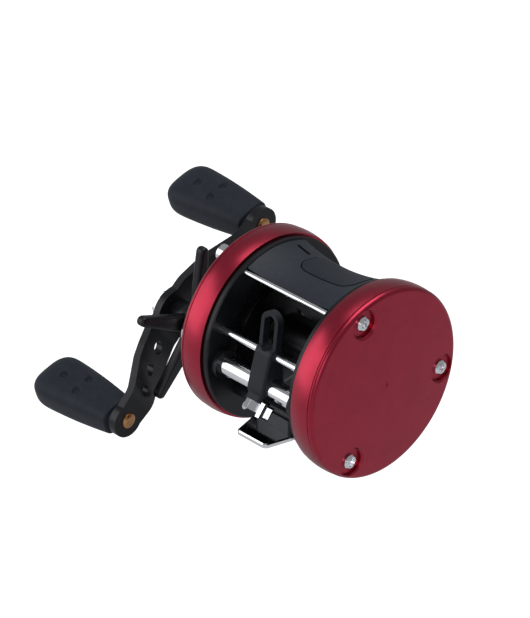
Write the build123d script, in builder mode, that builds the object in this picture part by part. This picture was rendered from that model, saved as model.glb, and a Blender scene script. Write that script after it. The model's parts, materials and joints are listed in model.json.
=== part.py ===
"""A round baitcasting reel, built as an assembly of separate pieces.

X runs along the spool's axis, with the handle at -X. The line leaves at -Y, the thumb bar is
at +Y, and Z is up. The origin is the middle of the foot's underside, where a rod seat holds it.
Places across the axis are given as (y, z) from the spool's axis.
"""

from build123d import *
from math import acos, atan2, cos, hypot, pi, radians, sin, sqrt, tan
import os

os.makedirs("parts", exist_ok=True)

# ---- driving dimensions, in millimetres and degrees ----
axis_height = 18.6          # spool axis above the foot's underside
frame_gap = 31.4            # between the two flanges
flange_thick = 1.9
flange_bore = 18.0
rim_round = 0.35            # broken edges
running = 0.05              # radial clearance of a running fit
gap = 0.3                   # clearance between faces of different bodies

cup_radius = 28.0           # largest radius of the side cups
cup_depth = 8.0             # from the flange to the edge of the face
cup_wall = 1.4
face_thick = 1.5
face_dome = 0.6             # rise of the face at its centre
wall_crown = 0.5            # the wall is this much fuller in its middle than at the flange
shoulder = 1.3              # round between wall and face
crease = 0.35               # fine groove between wall and shoulder
plate_thick = 1.5           # inner side plates
plate_clear = 1.0           # radial gap between an inner plate and its cup
screw_inset = 4.95          # the three cup screws stand this far inside the cup's radius
screw_angles = (110.0, -11.0, -122.0)
screw_shank = 1.3
screw_hole = 1.4
screw_head = 2.15
screw_pocket = 3.9
pocket_depth = 1.1          # less than the face's thickness
pocket_mouth = 0.35         # chamfer round a pocket
post_radius = 3.0           # posts inside a cup, one under each screw
thumb_head = 2.5            # knurled screws on the handle side
thumb_neck = 1.8
thumb_end = 4.2             # their ends beyond the cup's face

spool_radius = 16.6
spool_gap = 0.8             # between the spool's end and the flange
spool_lip = 1.0
arbor_radius = 6.5
spindle_radius = 2.0
spindle_near = 1.5
spindle_far = 0.9

drive_y = 0.5
gear_module = 0.4
main_teeth = 52
pinion_teeth = 10
level_module = 0.5
cog_teeth = 26
idler_teeth = 28
worm_teeth = 16
gear_thick = 1.4
main_thick = 2.0

tube_y, tube_z = -21.3, -1.9
tube_radius = 2.9
tube_wall = 0.55
worm_clear = 0.35           # between the worm and the tube
worm_journal = 1.3
rod_y, rod_z = -20.2, 7.7
rod_radius = 1.1
collar_wall = 1.2
collar_length = 2.0
guide_x = 1.7
guide_width = 6.5
guide_lean = 7.3            # the line guide leans back over the spool
loop_outer, loop_inner = 6.4, 3.9
loop_thick = 2.2
loop_foot, loop_top = 9.0, 20.2
pawl_angle = 230.0          # direction of the pawl from the tube's axis
pawl_radius = 1.1
boss_length = 2.1           # pawl boss and cap, out from the tube
cap_length = 2.6

bar_angle = 118.0           # chrome bar along the front of the top cover
bar_radius = 0.75
cover_front, cover_back = 115.5, 66.0
cover_step = 0.6            # the cover lies this much inside the flange beside it
cover_sag = 2.2             # dip of the cover in its middle
cover_thick = 2.2           # at the dip
pad_groove = 0.35
pad_from, pad_end_gap = -6.6, 2.3
pad_angles = (69.0, 94.0)
pad_deep, pad_proud = 1.0, 0.1

pillar_radius = 1.9
pillar_places = ((-14.6, -13.1), (14.6, -13.1), (21.6, -9.3))
foot_thick = 1.3
foot_front, foot_back = 25.4, 31.0
foot_tip, foot_mid = 5.6, 7.7   # half widths
pad_wide, pad_long = 14.0, 5.0
rivet_radius = 1.2
thumb_y = 21.4
thumb_low, thumb_high = 0.8, 7.6
thumb_travel = 3.0
clutch_travel = 1.3
lug_wide, lug_tall = 2.0, 3.0

shaft_radius = 3.0
shaft_step = 0.85           # share of the radius left beyond the star
sleeve_wall = 1.4
sleeve_flange = 9.0         # collar at the sleeve's outer end
sleeve_flange_thick = 3.0
bearing_wall = 2.6          # one-way bearing
star_stand = 23.1           # middle of the star's blades beyond the cup's face
star_reach = 24.0
star_root, star_tip = 5.6, 3.0  # blade widths
star_thick = 3.0
star_hub = 6.4
star_phase = 12.5
star_arms = 5
arm_angle = 39.0            # the handle as it is parked
arm_half = 34.0            # drive axis to knob pin
arm_end_stand = 24.9        # the arm's ends and hub beyond the cup's face
arm_hub_stand = 32.1
arm_thick = 2.4
arm_hub_radius = 8.0
arm_mid_width = 13.0
arm_end_radius = 5.2
pin_radius = 1.7
knob_length = 32.4
knob_width = 17.6
knob_thick = 11.6
knob_tilt = 17.0            # the paddles' faces lean towards the front
cap_radius = 6.3            # spool tension cap
cap_boss = 4.9              # threaded boss under it

# ---- places worked out from them ----
drive_z = -sqrt(((main_teeth + pinion_teeth) * gear_module / 2) ** 2 - drive_y**2)
inner = frame_gap / 2                     # inner face of a flange
outer = inner + flange_thick              # seat of a cup
face = outer + cup_depth                  # edge of a cup's face
flange_radius = cup_radius - 1.2
screw_circle = cup_radius - screw_inset
bar_circle = flange_radius - 1.4
cover_edge = flange_radius - cover_step
cover_dip = cover_edge - cover_sag
cover_inside = cover_dip - cover_thick
plate_end = outer + plate_thick
plate_radius = cup_radius - cup_wall - plate_clear
spool_reach = inner - spool_gap
tube_bore = tube_radius - tube_wall
worm_radius = tube_bore - worm_clear
collar_radius = tube_radius + collar_wall
cog_in = -(plate_end + 0.9)
cog_out = cog_in - gear_thick
main_in = cog_out - 0.4
main_out = main_in - main_thick
neck_in = cog_in - 0.4
sleeve_radius = shaft_radius + sleeve_wall
clutch_outer = sleeve_radius + bearing_wall
shaft_thin = shaft_radius * shaft_step
star_x = -(face + star_stand)
arm_end_x = -(face + arm_end_stand)
arm_hub_x = -(face + arm_hub_stand)


def across(x, y=0.0, z=0.0):
    """The plane square to the spool's axis at x, seen with Y to the right and Z up."""
    return Plane(origin=(x, y, z + axis_height), x_dir=(0, 1, 0), z_dir=(1, 0, 0))


def lathe(y=0.0, z=0.0):
    """The plane that holds the axis through (y, z) and Z."""
    return Plane(origin=(0, y, z + axis_height), x_dir=(1, 0, 0), z_dir=(0, -1, 0))


def turned(profile, y=0.0, z=0.0, mode=Mode.ADD):
    """Turns a closed profile of (x, radius) points about the axis through (y, z)."""
    with BuildSketch(lathe(y, z)) as section:
        with BuildLine():
            Polyline(*profile, close=True)
        make_face()
    revolve(section.sketch, axis=Axis((0, y, z + axis_height), (1, 0, 0)), mode=mode)


def ring(x_from, x_to, radius, bore=0.0, y=0.0, z=0.0, mode=Mode.ADD):
    """Adds a disc, or a ring where it has a bore, between two places along X."""
    with BuildSketch(across(x_from, y, z)) as section:
        Circle(radius)
        if bore:
            Circle(bore, mode=Mode.SUBTRACT)
    extrude(section.sketch, amount=x_to - x_from, mode=mode)


def bore(x_from, x_to, radius, y=0.0, z=0.0):
    """Takes out a round hole between two places along X."""
    ring(x_from, x_to, radius, 0, y, z, Mode.SUBTRACT)


def polar(radius, angle):
    """The (y, z) place at a radius and an angle from Y about the spool's axis."""
    return (radius * cos(radians(angle)), radius * sin(radians(angle)))


def finished(builder, name):
    """Labels a piece and writes it."""
    builder.part.label = name
    export_step(builder.part, "parts/" + name + ".step")


# ---- gears ----
idler_pin_radius = 1.4
pressure = radians(20.0)
backlash = 0.10             # share of half a pitch taken off each tooth


def roll(radius, base):
    """The involute function at a radius."""
    if radius <= base:
        return 0.0
    slope = acos(base / radius)
    return tan(slope) - slope


def gear_points(teeth, module, phase):
    """Outline of a spur gear with a tooth centred at phase, in radians."""
    pitch = teeth * module / 2
    base = pitch * cos(pressure)
    radii = (pitch - 1.2 * module, pitch - 0.45 * module, pitch, pitch + 0.85 * module)
    points = []
    for tooth in range(teeth):
        centre = phase + tooth * 2 * pi / teeth
        halves = [
            (1 - backlash) * pi / 2 / teeth + roll(pitch, base) - roll(radius, base) for radius in radii
        ]
        flank = list(zip(radii, halves))
        for radius, half in flank:
            points.append((radius * cos(centre - half), radius * sin(centre - half)))
        for radius, half in reversed(flank):
            points.append((radius * cos(centre + half), radius * sin(centre + half)))
    return points


def meshed(phase, teeth, other_teeth, bearing):
    """Phase of the gear that lies in the direction bearing from one of the given phase."""
    share = (bearing - phase) * teeth / (2 * pi)
    share = share - int(share)
    return bearing + pi + (share + 0.5) * 2 * pi / other_teeth


def gear_sketch(x, place, teeth, module, phase, bore):
    """The face of a gear, square to X."""
    with BuildSketch(across(x, place[0], place[1])) as section:
        with BuildLine():
            Polyline(*gear_points(teeth, module, phase), close=True)
        make_face()
        Circle(bore, mode=Mode.SUBTRACT)
    return section.sketch


def bearing_to(start, end):
    """Direction from one place to another, in radians."""
    return atan2(end[1] - start[1], end[0] - start[0])


drive = (drive_y, drive_z)
worm = (tube_y, tube_z)
cog_pitch = cog_teeth * level_module / 2
idler_pitch = idler_teeth * level_module / 2
worm_pitch = worm_teeth * level_module / 2
span = hypot(worm[0] - drive[0], worm[1] - drive[1])
near_leg = cog_pitch + idler_pitch
far_leg = idler_pitch + worm_pitch
foot_of_idler = (span**2 + near_leg**2 - far_leg**2) / (2 * span)
rise_of_idler = sqrt(near_leg**2 - foot_of_idler**2)
train = bearing_to(drive, worm)
idler = (
    drive_y + foot_of_idler * cos(train) - rise_of_idler * sin(train),
    drive_z + foot_of_idler * sin(train) + rise_of_idler * cos(train),
)
main_phase = bearing_to(drive, (0, 0))
pinion_phase = meshed(main_phase, main_teeth, pinion_teeth, main_phase)
cog_phase = bearing_to(drive, idler)
idler_phase = meshed(cog_phase, cog_teeth, idler_teeth, cog_phase)
worm_phase = meshed(idler_phase, idler_teeth, worm_teeth, bearing_to(idler, worm))

# ---- frame: two flanges joined by pillars ----
flange_tips = {"near": 1, "far": -1}
bar_place = polar(bar_circle, bar_angle)
pillar_end = pillar_radius * 0.6          # the pillars are thinner inside the flanges
slot_z = thumb_low + lug_tall / 2 - thumb_travel / 2
for side, way in flange_tips.items():
    with BuildPart() as flange:
        turned(
            (
                (way * inner, flange_bore),
                (way * inner, flange_radius - rim_round),
                (way * (inner + rim_round), flange_radius),
                (way * (outer - rim_round), flange_radius),
                (way * outer, flange_radius - rim_round),
                (way * outer, flange_bore),
            )
        )
        for y, z in pillar_places:
            bore(way * inner, way * outer, pillar_end, y, z)
        bore(way * inner, way * outer, tube_radius, tube_y, tube_z)
        bore(way * inner, way * outer, rod_radius, rod_y, rod_z)
        bore(way * inner, way * outer, bar_radius, bar_place[0], bar_place[1])
        for angle in screw_angles:
            y, z = polar(screw_circle, angle)
            bore(way * inner, way * outer, screw_shank, y, z)
        if side == "far":
            with BuildSketch(across(-inner, thumb_y, slot_z)):
                Rectangle(lug_wide + 2 * gap, lug_tall + thumb_travel + 2 * gap)
            extrude(amount=-flange_thick, mode=Mode.SUBTRACT)
    finished(flange, side + "_flange")

with BuildPart() as pillars:
    for y, z in pillar_places:
        ring(-inner, inner, pillar_radius, 0, y, z)
        ring(-outer, outer, pillar_end, 0, y, z)
finished(pillars, "pillars")

# ---- foot, hung from two pads under the lower pillars ----
foot_top = foot_thick - axis_height
rivet_x, rivet_grip = 4.4, 1.4            # the rivets reach this far into the pads
pad_places = pillar_places[:2]
rivet_spots = [(x, y) for y, z in pad_places for x in (-rivet_x, rivet_x)]
with BuildPart() as foot_pads:
    for y, z in pad_places:
        with BuildSketch(Plane.XY.offset(foot_thick)):
            with Locations((0, y)):
                RectangleRounded(pad_wide, pad_long, 1.2)
        extrude(amount=z - foot_top)
        bore(-inner, inner, pillar_radius, y, z)
        bore(-inner, inner, spool_radius + spool_gap)
    with BuildSketch(Plane.XY.offset(foot_thick)):
        with Locations(*rivet_spots):
            Circle(rivet_radius)
    extrude(amount=rivet_grip, mode=Mode.SUBTRACT)
finished(foot_pads, "foot_pads")

with BuildPart() as foot:
    with BuildSketch():
        Polygon(
            (-foot_tip, -foot_front),
            (foot_tip, -foot_front),
            (foot_mid, -foot_front * 0.68),
            (foot_mid, foot_back * 0.6),
            (foot_tip, foot_back),
            (-foot_tip, foot_back),
            (-foot_mid, foot_back * 0.6),
            (-foot_mid, -foot_front * 0.68),
            align=None,
        )
        fillet(vertices(), 1.6)
    extrude(amount=foot_thick)
    chamfer(foot.faces().sort_by(Axis.Z)[-1].edges(), rim_round)
    with BuildSketch():
        with Locations(*rivet_spots):
            Circle(rivet_radius)
    extrude(amount=foot_thick, mode=Mode.SUBTRACT)
finished(foot, "foot")

rivet_sunk = 0.2
with BuildPart() as foot_rivets:
    with BuildSketch(Plane.XY.offset(rivet_sunk)):
        with Locations(*rivet_spots):
            Circle(rivet_radius)
    extrude(amount=foot_thick + rivet_grip - rivet_sunk)
finished(foot_rivets, "foot_rivets")

# ---- top cover, its pad and the chrome bar ----
sag_radius = (inner**2 + cover_sag**2) / 2 / cover_sag


def cover_top(x):
    """Radius of the cover's upper face at x."""
    return cover_dip + sag_radius - sqrt(sag_radius**2 - x**2)


def dished(x_from, x_to, bottom, rise, back, front):
    """A stretch of the dished cover between two places along X and two angles."""
    start = Plane(
        origin=(0, 0, axis_height),
        x_dir=(1, 0, 0),
        z_dir=(0, -sin(radians(back)), cos(radians(back))),
    )
    middle = (x_from + x_to) / 2
    with BuildSketch(start) as section:
        with BuildLine():
            ThreePointArc(
                (x_from, cover_top(x_from) + rise),
                (middle, cover_top(middle) + rise),
                (x_to, cover_top(x_to) + rise),
            )
            Polyline(
                (x_to, cover_top(x_to) + rise),
                (x_to, bottom),
                (x_from, bottom),
                (x_from, cover_top(x_from) + rise),
            )
        make_face()
    revolve(section.sketch, axis=Axis((0, 0, axis_height), (1, 0, 0)), revolution_arc=front - back)


pad_to = inner - pad_end_gap
pad_corner = 3.6
pad_floor = cover_dip - pad_deep
groove_turn = 180 * pad_groove / pi / cover_dip     # the groove's width as an angle
with BuildPart() as thumb_pad:
    dished(pad_from, pad_to, pad_floor, pad_proud, *pad_angles)
    fillet(thumb_pad.edges().filter_by(GeomType.LINE).filter_by(Axis.X, reverse=True), pad_corner)
finished(thumb_pad, "thumb_pad")

with BuildPart() as pad_room:
    dished(
        pad_from - pad_groove,
        pad_to + pad_groove,
        pad_floor,
        1.0,
        pad_angles[0] - groove_turn,
        pad_angles[1] + groove_turn,
    )
    fillet(
        pad_room.edges().filter_by(GeomType.LINE).filter_by(Axis.X, reverse=True),
        pad_corner + pad_groove,
    )

# a short slot behind the pad, beside the far flange
slot_turn, slot_wide, slot_long, slot_deep = 77.0, 1.1, 5.0, 1.4
slot_y, slot_up = polar(cover_edge, slot_turn)
with BuildPart() as top_cover:
    dished(-inner, inner, cover_inside, 0, cover_back, cover_front)
    add(pad_room.part, mode=Mode.SUBTRACT)
    bore(-inner, inner, bar_radius, bar_place[0], bar_place[1])
    cover_slot = Plane(
        origin=(-inner + 2 + slot_long / 2, slot_y, slot_up + axis_height),
        x_dir=(1, 0, 0),
        z_dir=(0, cos(radians(slot_turn)), sin(radians(slot_turn))),
    )
    with BuildSketch(cover_slot):
        SlotOverall(slot_long, slot_wide)
    extrude(amount=-cover_sag - slot_deep, mode=Mode.SUBTRACT)
finished(top_cover, "top_cover")

with BuildPart() as front_bar:
    ring(-outer, outer, bar_radius, 0, bar_place[0], bar_place[1])
finished(front_bar, "front_bar")

# ---- level wind: tube with a slot, its collars and the guide rod ----
guide_travel = inner - collar_length - guide_width / 2 - 0.2
with BuildPart() as levelwind_tube:
    ring(-outer, outer, tube_radius, tube_bore, tube_y, tube_z)
    slot_half = guide_travel + pawl_radius + 0.4
    slot_plane = Plane(
        origin=(0, tube_y, tube_z + axis_height),
        x_dir=(1, 0, 0),
        z_dir=(0, cos(radians(pawl_angle)), sin(radians(pawl_angle))),
    )
    with BuildSketch(slot_plane):
        SlotOverall(2 * slot_half, 2 * (pawl_radius + 0.15))
    extrude(amount=tube_radius + 1, mode=Mode.SUBTRACT)
finished(levelwind_tube, "levelwind_tube")

with BuildPart() as tube_collars:
    for way in (-1, 1):
        ring(way * inner, way * (inner - collar_length), collar_radius, tube_radius, tube_y, tube_z)
finished(tube_collars, "tube_collars")

with BuildPart() as guide_rod:
    ring(-outer, outer, rod_radius, 0, rod_y, rod_z)
finished(guide_rod, "guide_rod")

# the worm shaft has a crossed groove, and turns inside the tube
worm_end = cog_out
gear_seat = worm_journal * 0.75           # the worm shaft is thinner inside its gear
groove_turns, groove_half = 5, guide_travel + 0.4
groove_deep, groove_wide = 0.45, 0.7
with BuildPart() as worm_shaft:
    ring(-inner + 0.5, inner - 0.5, worm_radius, 0, tube_y, tube_z)
    ring(-outer - plate_thick, outer + 0.6, worm_journal, 0, tube_y, tube_z)
    ring(-outer - plate_thick, worm_end, gear_seat, 0, tube_y, tube_z)
    for turn in range(2 * groove_turns):
        for lean in (-1, 1):
            centre = (turn + 0.5 - groove_turns) * groove_half / groove_turns
            cut = Plane(
                origin=(centre, tube_y, tube_z + axis_height),
                x_dir=(0, 1, 0),
                z_dir=(1, 0, lean * groove_half / groove_turns / (2.6 * worm_radius)),
            )
            with BuildSketch(cut) as groove:
                Circle(worm_radius + 2)
                Circle(worm_radius - groove_deep, mode=Mode.SUBTRACT)
            extrude(groove.sketch, amount=groove_wide / 2, both=True, mode=Mode.SUBTRACT)
finished(worm_shaft, "worm_shaft")

with BuildPart() as worm_gear:
    extrude(
        gear_sketch(cog_in, worm, worm_teeth, level_module, worm_phase, gear_seat),
        amount=cog_out - cog_in,
        dir=(1, 0, 0),
    )
finished(worm_gear, "worm_gear")

with BuildPart() as worm_bushes:
    for way in (-1, 1):
        ring(way * (inner - 0.3), way * outer, tube_bore, worm_journal + running, tube_y, tube_z)
finished(worm_bushes, "worm_bushes")

with BuildPart() as idler_gear:
    extrude(
        gear_sketch(cog_in, idler, idler_teeth, level_module, idler_phase, idler_pin_radius + running),
        amount=cog_out - cog_in,
        dir=(1, 0, 0),
    )
    with BuildSketch(across(cog_in, idler[0], idler[1])):
        with PolarLocations(idler_pitch * 0.56, 5):
            Circle(1.3)
    extrude(amount=cog_out - cog_in, mode=Mode.SUBTRACT)
finished(idler_gear, "idler_gear")

with BuildPart() as idler_pin:
    ring(-plate_end, cog_out - gap, idler_pin_radius, 0, idler[0], idler[1])
    ring(cog_out - gap, cog_out - gap - 0.5, idler_pin_radius + 0.9, 0, idler[0], idler[1])
finished(idler_pin, "idler_pin")

# ---- line guide, its pawl and the pawl's cap ----
pawl_way = Vector(0, cos(radians(pawl_angle)), sin(radians(pawl_angle)))
pawl_plane = Plane(origin=(guide_x, tube_y, tube_z + axis_height), x_dir=(1, 0, 0), z_dir=pawl_way)
pawl_start = worm_radius + 0.15
boss_end = tube_radius + boss_length
cap_end = boss_end + cap_length
body_low, body_high = tube_radius + 1.3, rod_radius + 1.5
lean = radians(guide_lean)
loop_base = Plane(
    origin=(guide_x, tube_y + loop_foot * tan(lean) + 0.4, loop_foot + axis_height),
    x_dir=(1, 0, 0),
    z_dir=(0, -cos(lean), sin(lean)),
)
loop_tall = (loop_top - loop_foot) / cos(lean) - loop_outer / 2
with BuildPart() as line_guide:
    with BuildSketch(across(guide_x - guide_width / 2)):
        with Locations((tube_y, tube_z)):
            Circle(body_low)
        with Locations((rod_y, rod_z)):
            Circle(body_high)
        make_hull()
    extrude(amount=guide_width)
    fillet(line_guide.faces().filter_by(Axis.X).edges(), 0.9)
    with BuildSketch(pawl_plane.offset(tube_radius / 2)):
        RectangleRounded(guide_width - 0.6, 5.4, 1.2)
    extrude(amount=boss_end - tube_radius / 2)
    with BuildSketch(loop_base):
        with Locations((0, loop_tall / 2 - 1.5)):
            Rectangle(loop_outer, loop_tall + 3.0)
        with Locations((0, loop_tall)):
            Circle(loop_outer / 2)
    extrude(amount=loop_thick / 2, both=True)
    with BuildSketch(loop_base):
        with Locations((0, loop_tall / 2 + 1.0)):
            SlotOverall(loop_tall - 2.0 + loop_inner, loop_inner, rotation=90)
    extrude(amount=2 * loop_thick, both=True, mode=Mode.SUBTRACT)
    bore(guide_x - guide_width, guide_x + guide_width, tube_radius + running, tube_y, tube_z)
    bore(guide_x - guide_width, guide_x + guide_width, rod_radius + running, rod_y, rod_z)
    with BuildSketch(pawl_plane):
        Circle(pawl_radius + running / 2)
    extrude(amount=boss_end + 1, mode=Mode.SUBTRACT)
finished(line_guide, "line_guide")

with BuildPart() as pawl:
    with BuildSketch(pawl_plane.offset(pawl_start)):
        Circle(pawl_radius)
    extrude(amount=boss_end - pawl_start)
finished(pawl, "pawl")

cap_across = 3.0
with BuildPart() as pawl_cap:
    with BuildSketch(pawl_plane.offset(boss_end)):
        RegularPolygon(cap_across, 8)
    extrude(amount=cap_end - boss_end)
    chamfer(pawl_cap.faces().sort_by(Axis.Z)[0].edges(), 0.4)
finished(pawl_cap, "pawl_cap")

# the clip on the guide's side stands clear of the near collar
clip_tall, clip_wide, clip_wall, clip_thick, clip_back = 4.2, 4.6, 0.6, 1.4, 0.4
clip_middle = collar_radius + gap + clip_tall / 2
clip_plane = Plane(
    origin=(guide_x + guide_width / 2, tube_y, tube_z + axis_height), x_dir=pawl_way, z_dir=(1, 0, 0)
)
with BuildPart() as guide_clip:
    with BuildSketch(clip_plane):
        with Locations((clip_middle, 0)):
            Rectangle(clip_tall, clip_wide)
            Rectangle(clip_tall - 2 * clip_wall, clip_wide - 2 * clip_wall, mode=Mode.SUBTRACT)
    extrude(amount=clip_thick)
    with BuildSketch(clip_plane):
        with Locations((clip_middle, 0)):
            Rectangle(clip_tall, clip_wide)
    extrude(amount=clip_back)
finished(guide_clip, "guide_clip")

# ---- side cups ----
cup_inside = cup_radius - cup_wall
floor = face - face_thick                 # inner side of a cup's face
dome_shares = (1.0, 0.86, 0.7, 0.52, 0.34, 0.17, 0.0)


def cup_section(way):
    """Half section of a cup, open towards the frame."""
    lip = cup_radius - crease / 2
    bend = shoulder * (1 - sqrt(0.5))
    groove_start = face - shoulder - crease
    with BuildSketch(lathe()) as section:
        with BuildLine():
            ThreePointArc(
                (way * outer, cup_radius - wall_crown),
                (way * (outer + 0.55 * cup_depth), cup_radius),
                (way * groove_start, lip),
            )
            Polyline(
                (way * groove_start, lip),
                (way * (groove_start + crease / 2), lip - crease),
                (way * (face - shoulder), lip),
            )
            ThreePointArc(
                (way * (face - shoulder), lip),
                (way * (face - bend), lip - bend),
                (way * face, lip - shoulder),
            )
            dome = [
                (way * (face + face_dome * (1 - share**2)), (lip - shoulder) * share) for share in dome_shares
            ]
            Polyline(
                *dome,
                (way * floor, 0),
                (way * floor, cup_inside - face_thick),
                (way * (floor - face_thick), cup_inside),
                (way * outer, cup_inside),
                (way * outer, cup_radius - wall_crown),
            )
        make_face()
    return section.sketch


pocket_floor = face - pocket_depth
drive_boss = clutch_outer + 1.4
boss_face = face + 1.5
cap_boss_end = boss_face + 3.0
bearing_far_radius = 3.5
bearing_near_radius = 4.5
bearing_near_wide, bearing_far_wide = 2.4, 2.2
bearing_seat = floor - 0.2 - bearing_near_wide
for side, way in flange_tips.items():
    with BuildPart() as cup:
        revolve(cup_section(way), axis=Axis((0, 0, axis_height), (1, 0, 0)))
        if side == "far":
            ring(-floor, -boss_face, drive_boss, 0, drive_y, drive_z)
            ring(-floor, -boss_face, cap_boss + 1.2)
            ring(-boss_face, -cap_boss_end, cap_boss)
            bore(-floor, -boss_face, clutch_outer, drive_y, drive_z)
            bore(-floor, -cap_boss_end, bearing_far_radius)
        else:
            ring(bearing_seat, floor, bearing_near_radius + 1.5)
            bore(bearing_seat, floor, bearing_near_radius)
        for angle in screw_angles:
            y, z = polar(screw_circle, angle)
            ring(way * plate_end, way * pocket_floor, post_radius, 0, y, z)
            turned(
                (
                    (way * pocket_floor, 0),
                    (way * pocket_floor, screw_pocket),
                    (way * (face - pocket_mouth), screw_pocket),
                    (way * (face + face_dome), screw_pocket + pocket_mouth + face_dome),
                    (way * (face + face_dome), 0),
                ),
                y,
                z,
                Mode.SUBTRACT,
            )
            bore(way * outer, way * face, screw_hole, y, z)
    finished(cup, side + "_cup")

# pan head screws on the near side, knurled thumb screws on the handle side
cross_long, cross_wide = 2.5, 0.65
with BuildPart() as cup_screws:
    for angle in screw_angles:
        y, z = polar(screw_circle, angle)
        turned(
            (
                (inner, 0),
                (inner, screw_shank),
                (pocket_floor, screw_shank),
                (pocket_floor, screw_head),
                (pocket_floor + 0.6, screw_head),
                (pocket_floor + 1.05, screw_head * 0.8),
                (pocket_floor + 1.3, screw_head * 0.45),
                (pocket_floor + 1.35, 0),
            ),
            y,
            z,
        )
        with BuildSketch(across(pocket_floor + 0.5, y, z)) as recess:
            Rectangle(cross_long, cross_wide, rotation=angle)
            Rectangle(cross_long, cross_wide, rotation=angle + 90)
        extrude(recess.sketch, amount=2, mode=Mode.SUBTRACT)
finished(cup_screws, "cup_screws")

with BuildPart() as thumb_screws:
    for angle in screw_angles:
        y, z = polar(screw_circle, angle)
        turned(
            (
                (-inner, 0),
                (-inner, screw_shank),
                (-pocket_floor, screw_shank),
                (-pocket_floor, thumb_neck),
                (-face - 0.5, thumb_neck),
                (-face - 0.7, thumb_head - 0.3),
                (-face - 1.0, thumb_head),
                (-face - thumb_end + 0.5, thumb_head),
                (-face - thumb_end + 0.1, thumb_head - 0.5),
                (-face - thumb_end, 0),
            ),
            y,
            z,
        )
        with BuildSketch(across(-face - thumb_end + 0.7, y, z)) as slot:
            Rectangle(2 * thumb_head, 0.8, rotation=angle)
        extrude(slot.sketch, amount=-1, mode=Mode.SUBTRACT)
finished(thumb_screws, "thumb_screws")

# ---- inner plates ----
post_y, post_z, yoke_post = 9.5, 4.0, 1.2
hub_hole = 1.4                            # wall of the bush round the drive shaft
for side, way in flange_tips.items():
    with BuildPart() as plate:
        ring(way * outer, way * plate_end, plate_radius)
        bore(way * outer, way * plate_end, tube_radius, tube_y, tube_z)
        bore(way * outer, way * plate_end, rod_radius + gap, rod_y, rod_z)
        for angle in screw_angles:
            y, z = polar(screw_circle, angle)
            bore(way * outer, way * plate_end, screw_hole, y, z)
        if side == "far":
            bore(-outer, -plate_end, pinion_teeth * gear_module / 2 + 1.2)
            bore(-outer, -plate_end, shaft_radius + hub_hole, drive_y, drive_z)
            bore(-outer, -plate_end, idler_pin_radius, idler[0], idler[1])
            with BuildSketch(across(-outer, thumb_y, slot_z)) as lug_slot:
                Rectangle(lug_wide + 2 * gap, lug_tall + thumb_travel + 2 * gap)
            extrude(lug_slot.sketch, amount=-plate_thick, mode=Mode.SUBTRACT)
            for y in (-post_y, post_y):
                bore(-outer, -plate_end, yoke_post, y, post_z)
        else:
            bore(outer, plate_end, spindle_near + 1.5)
    finished(plate, {"far": "gear_plate", "near": "brake_plate"}[side])

# ---- spool, spindle and the brake on its near end ----
spool_hub = 4.5
with BuildPart() as spool:
    turned(
        (
            (-spool_reach, spindle_radius),
            (-spool_reach, spool_hub),
            (-spool_reach + 1.2, spool_radius - 1.5),
            (-spool_reach + 0.5, spool_radius - 0.6),
            (-spool_reach + 0.5, spool_radius),
            (-spool_reach + 0.5 + spool_lip, spool_radius),
            (-spool_reach + 0.9 + spool_lip, spool_radius - 1.2),
            (-spool_reach + 1.6 + spool_lip, arbor_radius + 1.0),
            (-spool_reach + 2.6 + spool_lip, arbor_radius),
            (spool_reach - 2.6 - spool_lip, arbor_radius),
            (spool_reach - 1.6 - spool_lip, arbor_radius + 1.0),
            (spool_reach - 0.9 - spool_lip, spool_radius - 1.2),
            (spool_reach - 0.5 - spool_lip, spool_radius),
            (spool_reach - 0.5, spool_radius),
            (spool_reach - 0.5, spool_radius - 0.6),
            (spool_reach - 1.2, spool_radius - 1.5),
            (spool_reach, spool_hub),
            (spool_reach, spindle_radius),
        )
    )
finished(spool, "spool")

pin_x = -(plate_end + 0.5)
clutch_pin_radius, clutch_pin_length = 0.45, 3.0
hub_x, hub_width = plate_end + 0.4, 2.0
with BuildPart() as spindle:
    ring(-outer + 0.5, outer - 0.5, spindle_radius)
    ring(outer - 0.5, floor - 0.1, spindle_near)
    ring(-outer + 0.5, -cap_boss_end + 0.5, spindle_far)
    with BuildSketch(lathe()) as cross_hole:
        with Locations((pin_x, 0)):
            Circle(clutch_pin_radius)
    extrude(cross_hole.sketch, amount=5, both=True, mode=Mode.SUBTRACT)
finished(spindle, "spindle")

with BuildPart() as clutch_pin:
    with BuildSketch(lathe()) as pin_end:
        with Locations((pin_x, 0)):
            Circle(clutch_pin_radius)
    extrude(pin_end.sketch, amount=clutch_pin_length / 2, both=True)
finished(clutch_pin, "clutch_pin")

brake_radius, brake_hub_radius, brake_arms = 8.6, 3.2, 6
wire_radius, block_radius, block_long, block_from = 0.45, 1.0, 2.2, 4.4


def brake_arm(turn, start):
    """The plane square to one wire of the brake hub, at a radius from the axis."""
    y, z = polar(start, 360 * turn / brake_arms)
    way_out = polar(1, 360 * turn / brake_arms)
    return Plane(
        origin=(hub_x + hub_width / 2, y, z + axis_height), x_dir=(1, 0, 0), z_dir=(0, way_out[0], way_out[1])
    )


with BuildPart() as brake_hub:
    ring(hub_x, hub_x + hub_width, brake_hub_radius, spindle_near)
    for turn in range(brake_arms):
        with BuildSketch(brake_arm(turn, brake_hub_radius - 0.2)) as wire:
            Circle(wire_radius)
        extrude(wire.sketch, amount=brake_radius - brake_hub_radius - 1.0)
finished(brake_hub, "brake_hub")

with BuildPart() as brake_blocks:
    for turn in range(brake_arms):
        with BuildSketch(brake_arm(turn, block_from)) as block:
            Circle(block_radius)
            Circle(wire_radius, mode=Mode.SUBTRACT)
        extrude(block.sketch, amount=block_long)
finished(brake_blocks, "brake_blocks")

with BuildPart() as brake_ring:
    ring(plate_end, plate_end + 3.0, brake_radius + 1.0, brake_radius)
finished(brake_ring, "brake_ring")

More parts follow.
